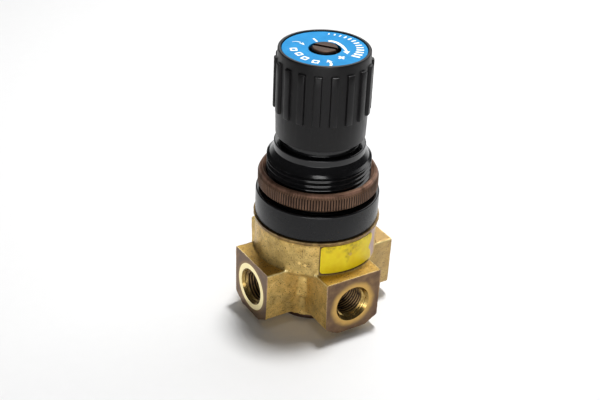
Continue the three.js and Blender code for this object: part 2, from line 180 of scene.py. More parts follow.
def thread(
    shell, low, high, pitch, root, crest, end_low, end_high, angles,
    hand=1, flat=0.12, per_pitch=12, fade=0.8,
):
    """A helical thread between two heights. Its ends fade to the radii end_low and end_high.

    flat is the share of the pitch that is flat at the root and at the crest, and fade is the
    number of pitches over which an end fades. hand is 1 for a right-hand thread, else -1.
    """
    sides = len(angles)
    turns = np.append(angles, TAU) / TAU
    rows = []
    for j in range(-per_pitch, round((high - low) / pitch * per_pitch) + per_pitch + 1):
        phase = j / per_pitch % 1.0
        wave = abs(2 * phase - 1)
        wave = min(max((wave - flat) / (1 - 2 * flat), 0), 1)
        wave = 0.7 * wave + 0.3 * wave * wave * (3 - 2 * wave)
        climb = turns if hand > 0 else 1 - turns
        height = low + (j / per_pitch + climb) * pitch
        radius = np.full(sides + 1, root + (crest - root) * wave)
        from_low = smooth_step((height - low) / (fade * pitch))
        from_high = smooth_step((high - height) / (fade * pitch))
        radius = end_low + (radius - end_low) * from_low
        radius = end_high + (radius - end_high) * from_high
        height = np.clip(height, low, high)
        rows.append(np.stack([
            radius * np.cos(turns * TAU), radius * np.sin(turns * TAU), height,
        ], -1))
    return shell.grid(np.array(rows), wrap_columns=False)


# ---- mesh pieces ----
def new_object(name, data):
    made = bpy.data.objects.new(name, data)
    bpy.context.scene.collection.objects.link(made)
    return made


def apply_modifiers(piece):
    graph = bpy.context.evaluated_depsgraph_get()
    data = bpy.data.meshes.new_from_object(piece.evaluated_get(graph))
    piece.modifiers.clear()
    piece.data = data
    return piece


def join(objects):
    """Puts the meshes of all the objects into the first one."""
    work = bmesh.new()
    for each in objects:
        work.from_mesh(each.data)
    work.to_mesh(objects[0].data)
    work.free()
    for each in objects[1:]:
        bpy.data.objects.remove(each)
    return objects[0]


def boolean(piece, cutters, operation="DIFFERENCE"):
    """Joins or cuts, then removes the cutters."""
    for cutter in cutters:
        step = piece.modifiers.new("cut", "BOOLEAN")
        step.operation, step.solver, step.object = operation, "MANIFOLD", cutter
    bpy.context.view_layer.update()
    apply_modifiers(piece)
    for cutter in cutters:
        bpy.data.objects.remove(cutter)
    return piece


def finish_piece(piece, body, nodes, materials, sharp=32, choose=None):
    """Shades a piece, gives it its materials, and ties it to its body and CAD nodes.

    choose(centres) gives each face the index of its material.
    """
    data = piece.data
    data.polygons.foreach_set("use_smooth", [True] * len(data.polygons))
    data.set_sharp_from_angle(angle=math.radians(sharp))
    data.materials.clear()
    for material in materials if isinstance(materials, list) else [materials]:
        data.materials.append(material)
    index = np.zeros(len(data.polygons), int)
    if choose is not None:
        centres = np.zeros(3 * len(index))
        data.polygons.foreach_get("center", centres)
        index = choose(centres.reshape(-1, 3) / MM)
    data.polygons.foreach_set("material_index", index.tolist())
    if body is not None:
        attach(piece, body)
    if nodes:
        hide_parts(*nodes)
    return piece


def turned_object(name, outline, sides=128, warp=None, angles=None):
    """A closed solid of revolution. The outline is a loop, or starts and ends on the axis."""
    angles = angles_of(sides) if angles is None else angles
    points = rounded(outline, 4)
    on_axis = outline[0][0] == 0 and outline[-1][0] == 0
    if not on_axis:
        points = points + points[:1]
    return shell_object(name, revolve(Shell(), points, angles, warp))


def turned_piece(name, body, node, slot, material, outline, **options):
    """A finished solid of revolution that stands for one CAD node."""
    return finish_piece(turned_object(name, outline, **options), body, [node], material)


def shell_object(name, shell, **options):
    return new_object(name, shell.mesh(name, **options))


def prism_object(name, outline, low, high):
    return new_object(name, prism_mesh(name, outline, low, high))


def block_object(size, centre, turn=0.0):
    """A box in mm, turned about Z by degrees after it is placed."""
    work = bmesh.new()
    bmesh.ops.create_cube(work, size=1)
    bmesh.ops.scale(work, vec=Vector(size) * MM, verts=work.verts)
    bmesh.ops.translate(work, vec=Vector(centre) * MM, verts=work.verts)
    bmesh.ops.rotate(work, matrix=Matrix.Rotation(math.radians(turn), 3, "Z"), verts=work.verts)
    data = bpy.data.meshes.new("block")
    work.to_mesh(data)
    work.free()
    return new_object("block", data)


def prism_mesh(name, outline, low, high):
    work = bmesh.new()
    floor = [work.verts.new((x * MM, y * MM, low * MM)) for x, y in outline]
    face = work.faces.new(floor)
    lifted = bmesh.ops.extrude_face_region(work, geom=[face])["geom"]
    top = [v for v in lifted if isinstance(v, bmesh.types.BMVert)]
    bmesh.ops.translate(work, vec=(0, 0, (high - low) * MM), verts=top)
    bmesh.ops.recalc_face_normals(work, faces=work.faces)
    data = bpy.data.meshes.new(name)
    work.to_mesh(data)
    work.free()
    return data


# ---- materials ----
class Look:
    """A node material under construction."""

    def __init__(self, name):
        self.material = bpy.data.materials.new(name)
        self.material.use_nodes = True
        self.tree = self.material.node_tree
        self.shader = self.tree.nodes["Principled BSDF"]
        self.place = self.add("ShaderNodeTexCoord").outputs["Object"]

    def add(self, kind, inputs=(), **settings):
        """A new node; inputs are (name or number, value or socket) pairs."""
        node = self.tree.nodes.new(kind)
        for key, value in settings.items():
            setattr(node, key, value)
        for key, value in inputs:
            self.join(node.inputs[key], value)
        return node

    def join(self, socket, value):
        if isinstance(value, bpy.types.NodeSocket):
            self.tree.links.new(value, socket)
        else:
            socket.default_value = value

    def done(self, **values):
        """The material, with shader inputs set by name, with _ for a space."""
        for key, value in values.items():
            self.join(self.shader.inputs[key.replace("_", " ")], value)
        return self.material

    def bumped(self, height, depth_mm, strength=1.0, **values):
        """As done, with a bump."""
        bump = self.add("ShaderNodeBump", [
            ("Height", height), ("Distance", depth_mm * MM), ("Strength", strength),
        ])
        return self.done(Normal=bump.outputs["Normal"], **values)

    def math(self, operation, *values):
        return self.add("ShaderNodeMath", enumerate(values), operation=operation).outputs[0]

    def times(self, *values):
        """The product of all the values."""
        product = values[0]
        for value in values[1:]:
            product = self.math("MULTIPLY", product, value)
        return product

    def plus(self, a, b):
        return self.math("ADD", a, b)

    def minus(self, a, b):
        return self.math("SUBTRACT", a, b)

    def size(self, value):
        return self.math("ABSOLUTE", value)

    def larger(self, a, b):
        return self.math("MAXIMUM", a, b)

    def smaller(self, a, b):
        return self.math("MINIMUM", a, b)

    def noise(self, size_mm, detail=4.0, roughness=0.55, distortion=0.0):
        return self.add("ShaderNodeTexNoise", [
            ("Vector", self.place), ("Scale", 1000.0 / size_mm), ("Detail", detail), ("Roughness", roughness),
            ("Distortion", distortion),
        ]).outputs["Fac"]

    def axes(self):
        """The point's x, y and z in mm."""
        node = self.add("ShaderNodeSeparateXYZ", [(0, self.place)])
        return [self.times(output, 1000.0) for output in node.outputs]

    def ramp(self, value, *stops):
        """stops are (position, number or colour)."""
        node = self.add("ShaderNodeValToRGB", [("Fac", value)])
        elements = node.color_ramp.elements
        while len(elements) < len(stops):
            elements.new(0.5)
        for element, (position, shade) in zip(elements, stops):
            element.position = position
            shade = (shade,) * 3 if isinstance(shade, (int, float)) else shade
            element.color = (*shade, 1.0)
        return node.outputs["Color"]

    def band(self, value, low, high):
        """0 at low, 1 at high, and a smooth rise between; high may be the lower number."""
        ends = (0.0, 1.0) if low < high else (1.0, 0.0)
        return self.add("ShaderNodeMapRange", [
            ("Value", value), ("From Min", min(low, high)), ("From Max", max(low, high)),
            ("To Min", ends[0]), ("To Max", ends[1]),
        ], interpolation_type="SMOOTHSTEP").outputs["Result"]

    def within(self, value, low, rise, fall, high):
        """1 from rise to fall, 0 below low and above high."""
        return self.times(self.band(value, low, rise), self.band(value, high, fall))

    def mix(self, share, a, b):
        """a where share is 0, b where it is 1."""
        a, b = ((*each, 1.0) if isinstance(each, tuple) else each for each in (a, b))
        return self.add("ShaderNodeMix", [(0, share), (6, a), (7, b)], data_type="RGBA").outputs[2]

    def pointed(self, low, high):
        """1 on worn outer edges for a band above 0.5, in inner corners for one below it."""
        return self.band(self.add("ShaderNodeNewGeometry").outputs["Pointiness"], low, high)

    def slope(self):
        """The upward part of the surface's normal."""
        normal = self.add("ShaderNodeTexCoord").outputs["Normal"]
        return self.add("ShaderNodeSeparateXYZ", [(0, normal)]).outputs[2]

    def layers(self, colour, *coats):
        """A colour under coats, each a (share, colour) pair."""
        for share, coat in coats:
            colour = self.mix(share, colour, coat)
        return colour

    def distance(self, a, b):
        return self.math("SQRT", self.plus(self.times(a, a), self.times(b, b)))

    def turn(self, x, y):
        """Degrees round the axis, -180 to 180."""
        return self.math("MULTIPLY", self.math("ARCTAN2", y, x), 180 / math.pi)

    def spot(self, a, b, centre, size, soft=0.5):
        """1 inside an ellipse in the a, b plane, with a soft edge."""
        parts = [
            self.math("DIVIDE", self.minus(each, middle), half)
            for each, middle, half in zip((a, b), centre, size)
        ]
        return self.band(self.distance(*parts), 1.0 + soft, 1.0 - soft)


def rgb(red, green, blue):
    """A screen colour, 0 to 255, as linear light."""
    def linear(value):
        value /= 255
        return value / 12.92 if value <= 0.04045 else ((value + 0.055) / 1.055) ** 2.4
    return linear(red), linear(green), linear(blue)


def bare_strip(look, x, y, z):
    """1 on the strip of bare pinkish metal beside the label."""
    angle = look.turn(x, y)
    wavy = look.plus(angle, look.times(look.minus(look.noise(2.0, 4.0), 0.5), 7.0))
    bowl = look.band(look.distance(x, y), 17.2, 17.4)
    return look.times(look.within(wavy, -64.0, -61.0, -50.0, -46.5), look.band(z, 19.4, 21.0), bowl)


def label_edge_shadow(look, x, y, z):
    """1 in a painted shadow round the label's edges."""
    across = look.within(look.turn(x, y), -118.9, -118.3, -62.5, -61.0)
    return look.times(across, look.within(z, 19.75, 20.0, 29.35, 29.55))


def boss_edge_highlight(look, x, y, z):
    """1 on a painted highlight along the top edges of the bosses and at their port-face ends."""
    sides = [look.size(each) for each in (x, y)]
    edge = look.times(look.within(look.smaller(*sides), 8.9, 9.1, 9.45, 9.6), look.band(z, 19.1, 19.35))
    end = look.times(look.band(look.larger(*sides), 21.25, 21.4), look.band(z, 19.3, 19.45))
    # noise that breaks the painted highlight into patches
    worn = look.band(look.noise(1.3, 3.0), 0.3, 0.5)
    return look.times(look.larger(edge, end), look.band(z, 20.0, 19.8), worn)


def cast_brass():
    """Weathered brass with the marks of wear and handling, and painted light and shade: shade in the hollows, on
    upward faces, under the flange on the lip, round the label and on the +X side, and highlights on the boss
    edges.
    """
    look = Look("cast_brass")
    x, y, z = look.axes()
    broad = look.noise(9.0, 5.0, 0.6)
    patches = look.noise(2.6, 6.0, 0.65, distortion=0.6)
    grain = look.noise(0.35, 3.0, 0.6)
    pits = look.noise(0.42, 2.0, 0.5)
    gold = look.ramp(patches, (0.3, rgb(182, 148, 76)), (0.5, rgb(220, 184, 106)), (0.72, rgb(240, 210, 134)))
    olive = look.ramp(patches, (0.25, rgb(160, 132, 72)), (0.6, rgb(208, 178, 108)))
    # painted shade: faces that point upward get a darker, deeper gold
    upward = look.band(look.slope(), 0.75, 0.95)
    # painted shade: the lip just under the bonnet flange is darkened, patchy with noise
    lip = look.times(look.band(z, 29.3, 29.9), look.ramp(patches, (0.35, 0.95), (0.65, 0.6)))
    skin = look.layers(
        look.mix(look.band(broad, 0.42, 0.62), gold, olive),
        (look.times(upward, 0.75), rgb(188, 149, 66)),
        (look.times(look.band(grain, 0.56, 0.7), 0.5), rgb(110, 86, 44)),
        (look.times(look.band(pits, 0.61, 0.67), 0.85), rgb(76, 56, 30)),
        # painted shade: the body is darkened and greyed towards +X, the side the back light overlights
        (look.times(look.band(x, 12.0, 18.0), 0.5), rgb(150, 126, 96)),
        (look.times(bare_strip(look, x, y, z), 0.85), rgb(186, 160, 160)),
        (look.times(label_edge_shadow(look, x, y, z), 0.85), rgb(64, 40, 26)),
        # painted shade in inner corners and hollows, where pointiness is low
        (look.times(look.pointed(0.49, 0.44), 0.8), rgb(72, 50, 30)),
        (look.times(look.pointed(0.51, 0.56), 0.9), rgb(240, 208, 130)),
        (lip, rgb(92, 66, 44)),
        (boss_edge_highlight(look, x, y, z), rgb(255, 236, 170)),
    )
    rough = look.plus(look.times(patches, 0.25), 0.3)
    height = look.plus(look.times(grain, 0.35), look.times(look.band(pits, 0.6, 0.72), -0.5))
    height = look.plus(height, look.times(look.noise(1.4, 3.0, 0.5), 0.6))
    return look.bumped(height, 0.15, 0.6, Base_Color=skin, Metallic=0.62, Roughness=rough)


def port_face(name, across_axis, ringed):
    """A milled port face, tarnished away from the socket; ringed ones have a bright sealing ring."""
    look = Look(name)
    axes = look.axes()
    across, up = axes[across_axis], look.minus(axes[2], PORT_Z)
    reach = look.distance(across, up)
    cloud = look.noise(3.5, 5.0, 0.6)
    grain = look.noise(0.3, 3.0, 0.6)
    face = look.ramp(cloud, (0.3, rgb(84, 64, 52)), (0.55, rgb(112, 88, 66)), (0.75, rgb(146, 116, 80)))
    wavy = look.plus(reach, look.times(look.minus(cloud, 0.5), 2.2))
    if ringed:
        face = look.mix(look.band(reach, 7.25, 7.1), face, rgb(255, 240, 186))
        glow = look.times(look.band(wavy, 8.4, 7.0), look.band(reach, 7.1, 7.25), 0.25)
    else:
        glow = look.times(look.band(wavy, 8.0, 5.9), 0.95)
    rim = look.larger(look.band(look.size(across), 8.7, 9.1), look.band(up, 8.6, 8.95))
    worn_rim = look.times(rim, look.band(grain, 0.3, 0.6))
    face = look.layers(face, (glow, rgb(196, 158, 88)), (worn_rim, rgb(188, 158, 120)))
    rough = look.plus(look.times(cloud, 0.2), 0.26)
    return look.bumped(grain, 0.015, Base_Color=face, Metallic=0.85, Roughness=rough)


def turned_brass():
    look = Look("turned_brass")
    cloud = look.noise(2.5, 4.0, 0.6)
    base = look.ramp(cloud, (0.3, rgb(196, 160, 84)), (0.7, rgb(232, 206, 134)))
    rough = look.ramp(cloud, (0.3, 0.2), (0.7, 0.32))
    return look.bumped(look.noise(0.2, 3.0), 0.01, Base_Color=base, Metallic=1.0, Roughness=rough)


def socket_brass():
    """The threaded sockets: bright at the mouth, with painted shade deeper in and painted highlights on the
    thread crests there.
    """
    look = Look("socket_brass")
    x, y, z = look.axes()
    cloud = look.noise(1.6, 4.0, 0.6)
    sides = [look.size(each) for each in (x, y)]
    along, across = look.larger(*sides), look.smaller(*sides)
    wavy = look.plus(along, look.times(look.minus(cloud, 0.5), 1.6))
    bright = look.ramp(cloud, (0.3, rgb(144, 114, 58)), (0.7, rgb(202, 174, 110)))
    dark_from = look.minus(21.1, look.band(sides[1], 11.0, 11.5))  # 1 mm deeper in the gauge ports
    # painted shade: 1 deeper in the socket, away from its mouth
    dark = look.times(look.band(look.minus(wavy, dark_from), 0.0, -1.9), look.band(z, 17.6, 17.0))
    reach = look.distance(across, look.minus(z, PORT_Z))
    # painted highlights on the thread crests inside the painted shade
    crest = look.times(look.band(reach, 4.5, 4.36), look.band(along, 12.2, 12.6), look.band(cloud, 0.3, 0.5))
    painted_depth_shade = look.mix(crest, rgb(52, 36, 24), rgb(158, 125, 78))
    base = look.mix(look.times(dark, 0.96), bright, painted_depth_shade)
    metallic = look.minus(1.0, look.times(dark, 0.5))
    rough = look.plus(look.times(dark, 0.2), 0.24)
    scratches = look.noise(0.2, 3.0)
    return look.bumped(scratches, 0.01, Base_Color=base, Metallic=metallic, Roughness=rough)


def plain(name, colour, metallic=0.0, roughness=0.5, grain_mm=0.5, grain_depth=0.01, shade=0.15):
    """A simple surface with some unevenness in colour, gloss and height."""
    look = Look(name)
    cloud = look.noise(4.0, 5.0, 0.6)
    grain = look.noise(grain_mm, 3.0, 0.6)
    darker = tuple(c * (1 - 2 * shade) for c in colour)
    lighter = tuple(min(1.0, c * (1 + shade)) for c in colour)
    base = look.ramp(cloud, (0.3, darker), (0.7, lighter))
    rough = look.plus(look.times(cloud, 0.12), roughness - 0.06)
    return look.bumped(grain, grain_depth, Base_Color=base, Metallic=metallic, Roughness=rough)


# ---- body ----
BOWL_R, LIP_R = 17.8, 18.4
HUB_R = (13.4, 14.2)  # of the hub between the bosses, below and above its step
BOSS_TOP = 19.6
BOSS_BOTTOM = BODY_LOW.z
VOXEL = 0.3
PILOT_R = 2.3  # of the drilled passage behind a socket
SOCKET_MINOR, SOCKET_MAJOR, SOCKET_PITCH = 4.285, 4.864, 0.907  # G1/8
SOCKET_END = 12.0  # from the axis
SINK_R = 5.55  # of the countersink at the port face
RISER_AT, RISER_R = 10.4, 1.7
CHAMBER_FLOOR, CHAMBER_R = 20.0, 12.6
CLAMP_R, CLAMP_FLOOR = 15.0, 25.1  # of the seat that the diaphragm's rim is clamped on


def boss_skin(angle):
    """A boss as cast: drafted sides, chamfered lower corners, a little longer than the machined one."""
    half_top, half_low, half_bottom = 9.3, 8.8, 4.8
    chamfer_top = BOSS_BOTTOM + 2.4
    outline = [
        (-half_bottom, BOSS_BOTTOM), (half_bottom, BOSS_BOTTOM), (half_low, chamfer_top),
        (half_top, BOSS_TOP), (-half_top, BOSS_TOP), (-half_low, chamfer_top),
    ]
    data = prism_mesh("boss", outline, 0, FACE + 1.2)
    lay = Matrix(((0, 0, 1, 0), (1, 0, 0, 0), (0, 1, 0, 0), (0, 0, 0, 1)))
    data.transform(Matrix.Rotation(math.radians(angle), 4, "Z") @ lay)
    return new_object("boss", data)


def uneven(piece, depth_mm):
    """Gives a mesh the low, irregular lumps of a sand casting."""
    count = len(piece.data.vertices)
    place, normal = np.zeros(3 * count), np.zeros(3 * count)
    piece.data.vertices.foreach_get("co", place)
    piece.data.vertices.foreach_get("normal", normal)
    place, normal = place.reshape(-1, 3) / MM, normal.reshape(-1, 3)
    draw = np.random.default_rng(7)
    lump = np.zeros(count)
    for _ in range(24):
        direction = draw.normal(size=3)
        direction *= TAU / draw.uniform(1.0, 4.0) / np.linalg.norm(direction)
        lump += np.sin(place @ direction + draw.uniform(0, TAU))
    place += normal * (depth_mm / 2 * np.clip(lump / math.sqrt(12), -2, 2))[:, None]
    piece.data.vertices.foreach_set("co", (place * MM).ravel())
    return piece


def cast_skin():
    low, high = HUB_R
    hub = turned_object("cast_body", [
        (0, BOSS_BOTTOM + 0.6), (low, BOSS_BOTTOM + 0.6), (low, 9.0), (high, 9.6), (high, 17.2),
        (BOWL_R - 1.2, 18.0), (BOWL_R, 19.4), (BOWL_R, 29.3), (LIP_R, 29.9), (LIP_R, BODY_TOP + 1),
        (0, BODY_TOP + 1),
    ], sides=160)
    join([hub] + [boss_skin(angle) for angle in PORT_ANGLES])
    remesh = hub.modifiers.new("skin", "REMESH")
    remesh.mode = "VOXEL"
    remesh.voxel_size = VOXEL * MM
    remesh.adaptivity = 0
    soften = hub.modifiers.new("soften", "SMOOTH")
    soften.factor = 0.5
    soften.iterations = 10
    apply_modifiers(hub)
    return uneven(hub, 0.05)


def port_cutter(angle, rises):
    """The space of a threaded socket and the drilled passage behind it, drawn along Z."""
    minor, major = SOCKET_MINOR, SOCKET_MAJOR
    start, mouth = SOCKET_END + 0.5, FACE - 0.8
    back_end = RISER_AT - RISER_R if rises else 6.0
    angles = angles_of(96)
    shell = Shell()
    back = [(0, back_end), (PILOT_R, back_end), (PILOT_R, SOCKET_END), (minor, SOCKET_END), (minor, start)]
    revolve(shell, back, angles)
    thread(shell, start, mouth, SOCKET_PITCH, minor, major, minor, major, angles, flat=0.08, per_pitch=10)
    revolve(shell, [(major, mouth), (SINK_R, FACE), (SINK_R, FACE + 3), (0, FACE + 3)], angles)
    cutter = shell_object("port_cutter", shell)
    turn = Matrix.Rotation(math.radians(angle), 4, "Z") @ Matrix.Translation((0, 0, PORT_Z * MM))
    cutter.data.transform(turn @ Matrix.Rotation(math.pi / 2, 4, "Y"))
    return cutter


def body_cavity():
    return turned_object("cavity", [
        (0, -2), (8.4, -2), (8.4, 9.4), (7.0, 9.4), (7.0, 13.2), (3.5, 13.2), (3.3, 12.4, 0.15),
        (2.6, 12.4, 0.15), (2.6, CHAMBER_FLOOR), (CHAMBER_R, CHAMBER_FLOOR, 0.5), (CHAMBER_R, CLAMP_FLOOR, 0.1),
        (CLAMP_R, CLAMP_FLOOR, 0.2), (CLAMP_R, BODY_TOP - 0.4), (15.4, BODY_TOP), (30, BODY_TOP),
        (30, BODY_TOP + 5), (0, BODY_TOP + 5),
    ], sides=128)


def riser_cutter(angle):
    x, y = polar(RISER_AT, angle)
    cutter = turned_object("riser", [
        (0, PORT_Z), (RISER_R, PORT_Z), (RISER_R, CHAMBER_FLOOR + 1), (0, CHAMBER_FLOOR + 1),
    ], sides=32)
    cutter.data.transform(Matrix.Translation((x * MM, y * MM, 0)))
    return cutter


def body_faces(centres):
    """0 cast skin, 1 and 2 machined port faces, 3 inside the sockets and chambers."""
    x, y, z = centres.T
    index = np.zeros(len(centres), int)
    radius = np.hypot(x, y)
    index[(radius < 15.6) & (z > CHAMBER_FLOOR - 0.1)] = 3
    index[(radius < 8.6) & (z < 13.3)] = 3
    for along, across, number in ((x, y, 1), (y, x, 2)):
        index[(np.hypot(across, z - PORT_Z) < SINK_R + 0.02) & (np.abs(along) > 6)] = 3
        index[np.abs(np.abs(along) - FACE) < 0.03] = number
    return index


def make_body():
    body = cast_skin()
    reach = FACE + 10
    planes = [block_object((20, 4 * reach, 60), (FACE + 10, 0, 15), angle) for angle in PORT_ANGLES]
    boolean(body, planes + [body_cavity()])
    boolean(body, [port_cutter(angle, angle != 180) for angle in PORT_ANGLES])
    boolean(body, [riser_cutter(angle) for angle in PORT_ANGLES if angle != 180])
    main_face, gauge_face = port_face("main_port_face", 1, True), port_face("gauge_port_face", 0, False)
    skins = [cast_brass(), main_face, gauge_face, socket_brass()]
    return finish_piece(body, "housing", ["body"], skins, choose=body_faces)


# ---- bonnet ----
NECK_CREST, NECK_ROOT, NECK_PITCH = 15.0, 14.08, 1.5
FLANGE_R = BONNET_HIGH.x
FLANGE_LOW, FLANGE_TOP = BODY_TOP + 0.3, 38.9
THREAD_LOW, THREAD_TOP = FLANGE_TOP - 0.3, 49.6
TOWER_R = 11.0


def glossy_black():
    """Black anodised metal, glossier on the neck than on the flange."""
    look = Look("black_housing")
    cloud = look.noise(6.0, 5.0, 0.6)
    dust = look.noise(1.2, 6.0, 0.7)
    base = look.mix(look.band(dust, 0.56, 0.78), (0.006, 0.006, 0.007), (0.018, 0.017, 0.017))
    polished = look.band(look.axes()[2], 38.2, 38.7)
    rough = look.times(look.ramp(cloud, (0.3, 0.2), (0.7, 0.32)), look.minus(1.0, look.times(polished, 0.35)))
    shine = look.plus(0.27, look.times(polished, 0.25))
    return look.bumped(dust, 0.008, Base_Color=base, Roughness=rough, Specular_IOR_Level=shine)


def make_bonnet():
    angles = angles_of(192)
    shell = Shell()
    below = [
        (8.6, 60.5), (8.6, 47.0), (11.5, 47.0, 0.5), (11.5, 34.0), (12.2, 33.0), (12.2, BONNET_LOW.z, 0.2),
        (14.7, BONNET_LOW.z, 0.2), (14.7, FLANGE_LOW), (FLANGE_R, FLANGE_LOW, 0.2),
        (FLANGE_R, FLANGE_TOP, 0.45), (15.2, FLANGE_TOP, 0.1), (15.2, THREAD_LOW), (NECK_ROOT, THREAD_LOW),
    ]
    above = [
        (NECK_CREST, THREAD_TOP), (14.2, 50.2, 0.15), (13.1, 52.1, 0.4), (13.1, 54.1, 0.35),
        (TOWER_R, 54.1, 0.2), (TOWER_R, BONNET_HIGH.z, 0.4), (4.5, BONNET_HIGH.z, 0.1), (4.5, 60.5),
        (8.6, 60.5),
    ]
    revolve(shell, rounded(below, closed=False), angles)
    root, crest = NECK_ROOT, NECK_CREST
    thread(shell, THREAD_LOW, THREAD_TOP, NECK_PITCH, root, crest, root, crest, angles, fade=0.3)
    revolve(shell, rounded(above, closed=False), angles)
    bonnet = shell_object("bonnet_shell", shell)
    keyways = [block_object((9.9, 2.6, 14.5), (4.95, 0, 53.25), 45 + 90 * i) for i in range(4)]
    boolean(bonnet, keyways)
    return finish_piece(bonnet, "housing", ["bonnet"], glossy_black())


# ---- ring nut ----
def browned_metal(name="brown_metal", deep=0.92, metallic=0.45):
    """Browned metal, with painted shade in the nut's knurled grooves and a painted highlight on its bevel; deep
    scales the colour.
    """
    look = Look(name)
    cloud = look.noise(5.0, 5.0, 0.6)
    grain = look.noise(0.5, 4.0, 0.65)
    x, y, z = look.axes()
    dark, light = (tuple(c * deep for c in colour) for colour in (rgb(88, 66, 52), rgb(132, 102, 82)))
    # painted shade in the knurl's grooves
    groove = look.times(look.band(look.distance(x, y), 17.36, 17.2), look.within(z, 40.2, 40.5, 43.8, 44.1))
    # painted highlight on the top bevel, patchy with noise
    bevel = look.times(look.within(z, 44.3, 44.75, 45.2, 45.45), look.band(cloud, 0.3, 0.6))
    base = look.layers(
        look.ramp(cloud, (0.3, dark), (0.7, light)),
        (groove, rgb(34, 24, 20)),
        (bevel, rgb(150, 114, 96)),
        (look.band(grain, 0.6, 0.74), rgb(58, 40, 34)),
    )
    rough = look.ramp(grain, (0.3, 0.3), (0.7, 0.48))
    return look.bumped(grain, 0.03, Base_Color=base, Metallic=metallic, Roughness=rough, Specular_IOR_Level=0.12)


def make_ring_nut():
    teeth, across = 135, 6
    low, high, outer = NUT_LOW.z, NUT_HIGH.z, NUT_HIGH.x
    angles = angles_of(teeth * across)
    bore, groove = NECK_CREST + 0.12, NECK_CREST + 0.72

    def knurl(radius, height, angles):
        wave = 0.5 + 0.5 * np.cos(angles * teeth)
        depth = 0.24 * smooth_step((radius - (outer - 0.4)) / 0.35)
        return radius - depth * (1 - wave) ** 1.3

    shell = Shell()
    outside = [
        (bore, low + 0.75), (bore + 0.75, low, 0.1), (outer - 0.6, low, 0.25), (outer, low + 0.6, 0.3),
        (outer, high - 1.6, 0.3), (outer - 0.6, high - 0.4, 0.5), (outer - 1.2, high, 0.4),
        (bore + 0.9, high, 0.15), (bore, high - 0.9),
    ]
    revolve(shell, rounded(outside, closed=False), angles, knurl)
    thread(shell, low + 0.75, high - 0.9, NECK_PITCH, groove, bore, bore, bore, angles, per_pitch=8)
    nut = shell_object("panel_ring_nut", shell)
    return finish_piece(nut, "panel_nut", ["ring_nut"], browned_metal(), sharp=50)


# ---- knob ----
RIB_COUNT, RIB_WIDTH, RIB_R = 18, 2.16, 13.77
RIB_START, RIB_PITCH = -129.3, 20
RIB_LOW, RIB_TOP = 64.4, 79.3
GRIP_R, SKIRT_R, RIM_R = 13.0, 12.75, 12.85
DISC_R, WELL_R = DISC_HIGH.x, 4.55


def satin_black():
    look = Look("black_knob")
    cloud = look.noise(5.0, 5.0, 0.6)
    grain = look.noise(0.25, 3.0, 0.6)
    dust = look.noise(0.8, 6.0, 0.7)
    base = look.mix(look.band(dust, 0.58, 0.75), (0.007, 0.0065, 0.007), (0.02, 0.019, 0.019))
    rough = look.ramp(cloud, (0.3, 0.3), (0.7, 0.42))
    return look.bumped(grain, 0.01, Base_Color=base, Roughness=rough, Specular_IOR_Level=0.23)


def rib_angles():
    """Angles round the knob, close together at the edges of each rib."""
    half = math.degrees(RIB_WIDTH / 2 / RIB_R)
    steps = [half * share for share in (0, 0.45, 0.8, 0.9, 0.96, 1.0, 1.03, 1.1, 1.2)] + [8.0]
    offsets = sorted({round(s * sign, 5) for s in steps for sign in (1, -1)}) + [RIB_PITCH / 2]
    turns = [RIB_START + RIB_PITCH * i + offset for i in range(RIB_COUNT) for offset in offsets]
    return np.radians(turns)


def rib_share(angles):
    """1 on a rib's top, 0 on the floor between ribs, with a rounded edge."""
    half = math.degrees(RIB_WIDTH / 2 / RIB_R)
    offset = np.abs((np.degrees(angles) - RIB_START + RIB_PITCH / 2) % RIB_PITCH - RIB_PITCH / 2) / half
    crown = 1 - 0.1 * np.clip(offset, 0, 0.9) ** 2
    return crown * smooth_step((1.13 - offset) / 0.26)


def make_knob():
    def ribs(radius, height, angles):
        if radius < SKIRT_R - 0.3 or not RIB_LOW <= height <= RIB_TOP:
            return np.full(len(angles), float(radius))
        ends = min(height - RIB_LOW, RIB_TOP - height) / 0.3
        share = float(math.sqrt(max(0.0, 1 - (1 - min(ends, 1)) ** 2)))
        return radius + (RIB_R - radius) * rib_share(angles) * share

    top, bottom = KNOB_HIGH.z, KNOB_LOW.z
    ends = [0, 0.02, 0.06, 0.12, 0.2, 0.3]
    rows = [RIB_LOW + e for e in ends] + [68.0, 72.0, 76.0] + [RIB_TOP - e for e in reversed(ends)]
    side = [(SKIRT_R + (GRIP_R - SKIRT_R) * min(1, (z - bottom) / (RIB_LOW - bottom)), z) for z in rows]
    outline = [
        (11.4, bottom, 0.15), (SKIRT_R, bottom, 0.3), *side, (RIM_R + 0.05, top - 0.9), (RIM_R, top, 0.3),
        (DISC_R + 0.2, top, 0.12), (DISC_R + 0.2, DISC_LOW.z - 0.3), (WELL_R, DISC_LOW.z - 0.3, 0.1),
        (WELL_R, 79.0), (3.2, 79.0), (3.2, 66.3), (4.4, 66.3), (4.4, 64.4), (6.2, 64.4, 0.2),
        (6.2, 78.6, 0.4), (10.9, 78.6, 0.4), (10.9, 66.0), (11.4, 66.0),
    ]
    knob = turned_object("hand_knob", outline, angles=rib_angles(), warp=ribs)
    webs = [block_object((5.0, 1.2, 12.4), (8.55, 0, 72.4), 60 * i) for i in range(6)]
    boolean(knob, webs, "UNION")
    return finish_piece(knob, "knob_unit", ["knob"], satin_black(), sharp=40)


def blue_print():
    look = Look("blue_print")
    cloud = look.noise(3.0, 5.0, 0.6)
    speck = look.noise(0.45, 4.0, 0.7)
    base = look.ramp(cloud, (0.3, rgb(32, 128, 186)), (0.7, rgb(50, 144, 202)))
    base = look.mix(look.band(speck, 0.66, 0.76), base, rgb(150, 205, 240))
    rough = look.ramp(cloud, (0.3, 0.45), (0.7, 0.55))
    return look.bumped(speck, 0.01, Base_Color=base, Roughness=rough, Specular_IOR_Level=0.05)


